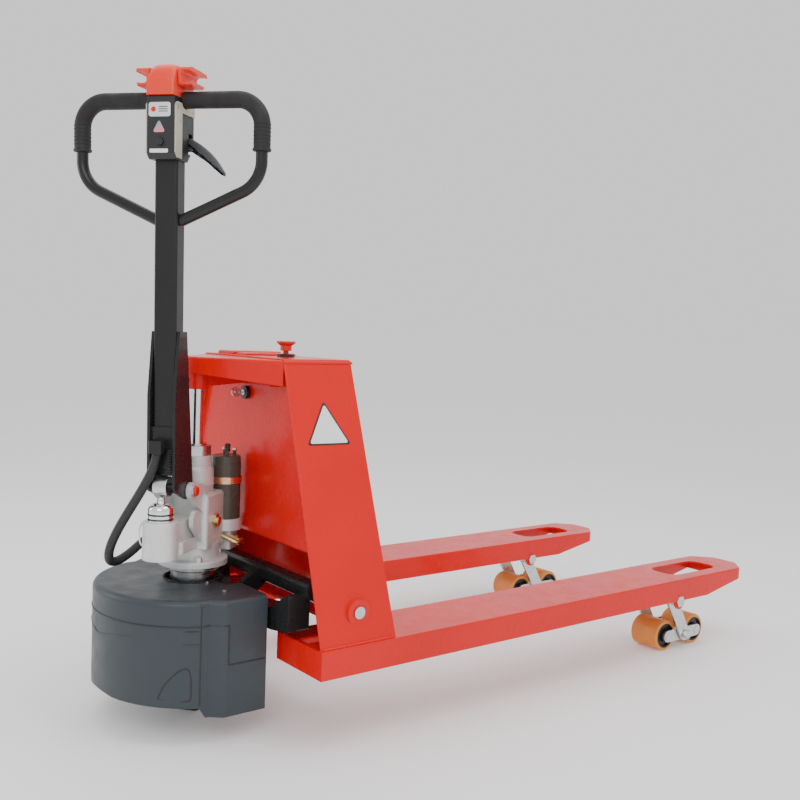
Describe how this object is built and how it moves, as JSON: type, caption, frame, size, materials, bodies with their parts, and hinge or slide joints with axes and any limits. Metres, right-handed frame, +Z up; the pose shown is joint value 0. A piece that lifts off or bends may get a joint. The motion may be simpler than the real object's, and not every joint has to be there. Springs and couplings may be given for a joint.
{
  "type": "pallet jack",
  "caption": "Semi-electric walk-behind pallet truck: two long forks on tandem load rollers, battery box, lift pump on a covered drive wheel and an upright tiller with looped handle.",
  "frame": {"origin": "middle of the footprint on the floor", "axes": "+X along the forks towards their tips, +Y to the operator's left when facing the forks, +Z up"},
  "size_m": [1.7317, 0.6922, 1.269],
  "materials": {
    "red_paint": "gloss",
    "red_plastic": "gloss",
    "orange_red_plastic": "satin",
    "black_plastic": "matt",
    "grey_plastic": "satin moulded",
    "beige_plastic": "satin",
    "chrome": "polished",
    "steel": "turned",
    "zinc": "zinc plated",
    "cast_metal": "painted silver casting",
    "aluminium": "satin",
    "brass": "satin",
    "copper": "satin",
    "bronze_paint": "satin",
    "black_paint": "semi-gloss",
    "rubber": "matt",
    "polyurethane": "satin",
    "dark_lever": "satin"
  },
  "bodies": {
    "base": {"bearing_housing": "black_paint", "drive_lid": "grey_plastic", "drive_skirt": "grey_plastic", "cover_screws": "steel"},
    "frame": {"fork_left": "red_paint", "fork_right": "red_paint", "side_plates": "red_paint", "front_plate": "red_paint", "back_plate": "red_paint", "lift_head": "red_paint", "piston_rod": "chrome", "top_cover": "red_paint", "stop_base": "black_plastic", "key_switch": "black_plastic", "batteries": "black_plastic", "controller": "aluminium", "frame_pins": "steel"},
    "stop_button": {"stop_button": "red_plastic"},
    "key": {"key": "steel"},
    "rocker": {"rocker": "black_paint"},
    "pump": {"steer_spindle": "steel", "pump_body": "cast_metal", "gland_nut": "steel", "lift_motor": "bronze_paint", "motor_band": "copper", "motor_bracket": "cast_metal", "pump_fittings": "brass", "drive_yoke": "black_paint", "drive_motor": "black_paint", "tiller_axle": "steel"},
    "drive_wheel": {"drive_tyre": "rubber", "drive_hub": "aluminium"},
    "plunger": {"plunger": "steel"},
    "tiller": {"mast": "black_paint", "mast_foot": "black_paint", "handle_loop": "black_paint", "handle_grips": "rubber", "control_box": "black_plastic", "side_bezels": "beige_plastic", "control_head": "orange_red_plastic", "conduit": "black_plastic"},
    "pressure_roller": {"pressure_roller": "steel"},
    "horn_button": {"horn_button": "black_plastic"},
    "reverse_button": {"reverse_button": "orange_red_plastic"},
    "throttle": {"throttle": "orange_red_plastic"},
    "hand_lever": {"hand_lever": "dark_lever"},
    "push_rod_left": {"push_rod_left": "steel"},
    "bracket_left": {"wheel_bracket_left": "zinc"},
    "bogie_left": {"bogie_left": "zinc"},
    "roller_left_front": {"roller_tyre_left_front": "polyurethane", "roller_hub_left_front": "black_paint"},
    "roller_left_rear": {"roller_tyre_left_rear": "polyurethane", "roller_hub_left_rear": "black_paint"},
    "push_rod_right": {"push_rod_right": "steel"},
    "bracket_right": {"wheel_bracket_right": "zinc"},
    "bogie_right": {"bogie_right": "zinc"},
    "roller_right_front": {"roller_tyre_right_front": "polyurethane", "roller_hub_right_front": "black_paint"},
    "roller_right_rear": {"roller_tyre_right_rear": "polyurethane", "roller_hub_right_rear": "black_paint"}
  },
  "joints": [
    {"name": "steer", "type": "hinge", "parent": "base", "child": "pump", "pos_m": [-0.62515, 0, 0.3], "axis": [0, 0, 1], "range_deg": [-124, 46]},
    {"name": "lift", "type": "slide", "parent": "base", "child": "frame", "axis": [0, 0, 1], "range_m": [-0.11, 0]},
    {"name": "rocker_swing", "type": "hinge", "parent": "frame", "child": "rocker", "pos_m": [-0.43115, 0, 0.252], "axis": [0, 1, 0], "range_deg": [0, 33.25]},
    {"name": "stop_press", "type": "slide", "parent": "frame", "child": "stop_button", "axis": [0, 0, -1], "range_m": [0, 0.006]},
    {"name": "key_turn", "type": "hinge", "parent": "frame", "child": "key", "pos_m": [-0.50915, 0, 0.656], "axis": [-1, 0, 0], "range_deg": [-90, 0]},
    {"name": "drive_spin", "type": "hinge", "parent": "pump", "child": "drive_wheel", "pos_m": [-0.62515, 0, 0.085], "axis": [-0.6293, 0.7771, 0], "continuous": true},
    {"name": "tiller_pitch", "type": "hinge", "parent": "pump", "child": "tiller", "pos_m": [-0.69509, -0.05664, 0.47], "axis": [0.6293, -0.7771, 0], "range_deg": [0, 60], "stiffness_Nm_per_rad": 45, "springref_deg": -20.05, "deforming": ["conduit"]},
    {"name": "plunger_slide", "type": "slide", "parent": "pump", "child": "plunger", "axis": [0, 0, -1], "range_m": [0, 0.0552]},
    {"name": "roller_spin", "type": "hinge", "parent": "tiller", "child": "pressure_roller", "pos_m": [-0.73506, -0.089, 0.48457], "axis": [-0.6293, 0.7771, 0], "continuous": true},
    {"name": "horn_press", "type": "slide", "parent": "tiller", "child": "horn_button", "axis": [0.7768, 0.6291, 0.0279], "range_m": [0, 0.003], "stiffness_N_per_m": 400, "springref_m": -0.003},
    {"name": "reverse_press", "type": "slide", "parent": "tiller", "child": "reverse_button", "axis": [0.7768, 0.6291, 0.0279], "range_m": [0, 0.007], "stiffness_N_per_m": 500, "springref_m": -0.004},
    {"name": "throttle_turn", "type": "hinge", "parent": "tiller", "child": "throttle", "pos_m": [-0.73979, -0.09283, 1.23969], "axis": [-0.6293, 0.7771, 0], "range_deg": [-30, 30], "stiffness_Nm_per_rad": 1.2},
    {"name": "lever_squeeze", "type": "hinge", "parent": "tiller", "child": "hand_lever", "pos_m": [-0.70158, -0.08762, 1.13357], "axis": [-0.7768, -0.6291, -0.0279], "range_deg": [0, 18], "stiffness_Nm_per_rad": 2, "springref_deg": -14.32},
    {"name": "rod_slide_left", "type": "slide", "parent": "frame", "child": "push_rod_left", "axis": [1, 0, 0], "range_m": [-0.0424, 0]},
    {"name": "bracket_swing_left", "type": "hinge", "parent": "frame", "child": "bracket_left", "pos_m": [0.55935, 0.2625, 0.139], "axis": [0, -1, 0], "range_deg": [0, 63.12]},
    {"name": "bogie_rock_left", "type": "hinge", "parent": "bracket_left", "child": "bogie_left", "pos_m": [0.62135, 0.2625, 0.039], "axis": [0, 1, 0], "range_deg": [0, 63.12]},
    {"name": "roller_left_front_spin", "type": "hinge", "parent": "bogie_left", "child": "roller_left_front", "pos_m": [0.56135, 0.2625, 0.039], "axis": [0, 1, 0], "continuous": true},
    {"name": "roller_left_rear_spin", "type": "hinge", "parent": "bogie_left", "child": "roller_left_rear", "pos_m": [0.68135, 0.2625, 0.039], "axis": [0, 1, 0], "continuous": true},
    {"name": "rod_slide_right", "type": "slide", "parent": "frame", "child": "push_rod_right", "axis": [1, 0, 0], "range_m": [-0.0424, 0]},
    {"name": "bracket_swing_right", "type": "hinge", "parent": "frame", "child": "bracket_right", "pos_m": [0.55935, -0.2625, 0.139], "axis": [0, -1, 0], "range_deg": [0, 63.12]},
    {"name": "bogie_rock_right", "type": "hinge", "parent": "bracket_right", "child": "bogie_right", "pos_m": [0.62135, -0.2625, 0.039], "axis": [0, 1, 0], "range_deg": [0, 63.12]},
    {"name": "roller_right_front_spin", "type": "hinge", "parent": "bogie_right", "child": "roller_right_front", "pos_m": [0.56135, -0.2625, 0.039], "axis": [0, 1, 0], "continuous": true},
    {"name": "roller_right_rear_spin", "type": "hinge", "parent": "bogie_right", "child": "roller_right_rear", "pos_m": [0.68135, -0.2625, 0.039], "axis": [0, 1, 0], "continuous": true}
  ],
  "couplings": [
    {"joint": "rocker_swing", "follows": "lift", "rad_per_m": -5.2677},
    {"joint": "plunger_slide", "follows": "tiller_pitch", "m_per_rad": 0.0525},
    {"joint": "rod_slide_left", "follows": "lift", "ratio": 0.38455},
    {"joint": "bracket_swing_left", "follows": "lift", "rad_per_m": -10.007},
    {"joint": "bogie_rock_left", "follows": "lift", "rad_per_m": -10.007},
    {"joint": "rod_slide_right", "follows": "lift", "ratio": 0.38455},
    {"joint": "bracket_swing_right", "follows": "lift", "rad_per_m": -10.007},
    {"joint": "bogie_rock_right", "follows": "lift", "rad_per_m": -10.007}
  ]
}
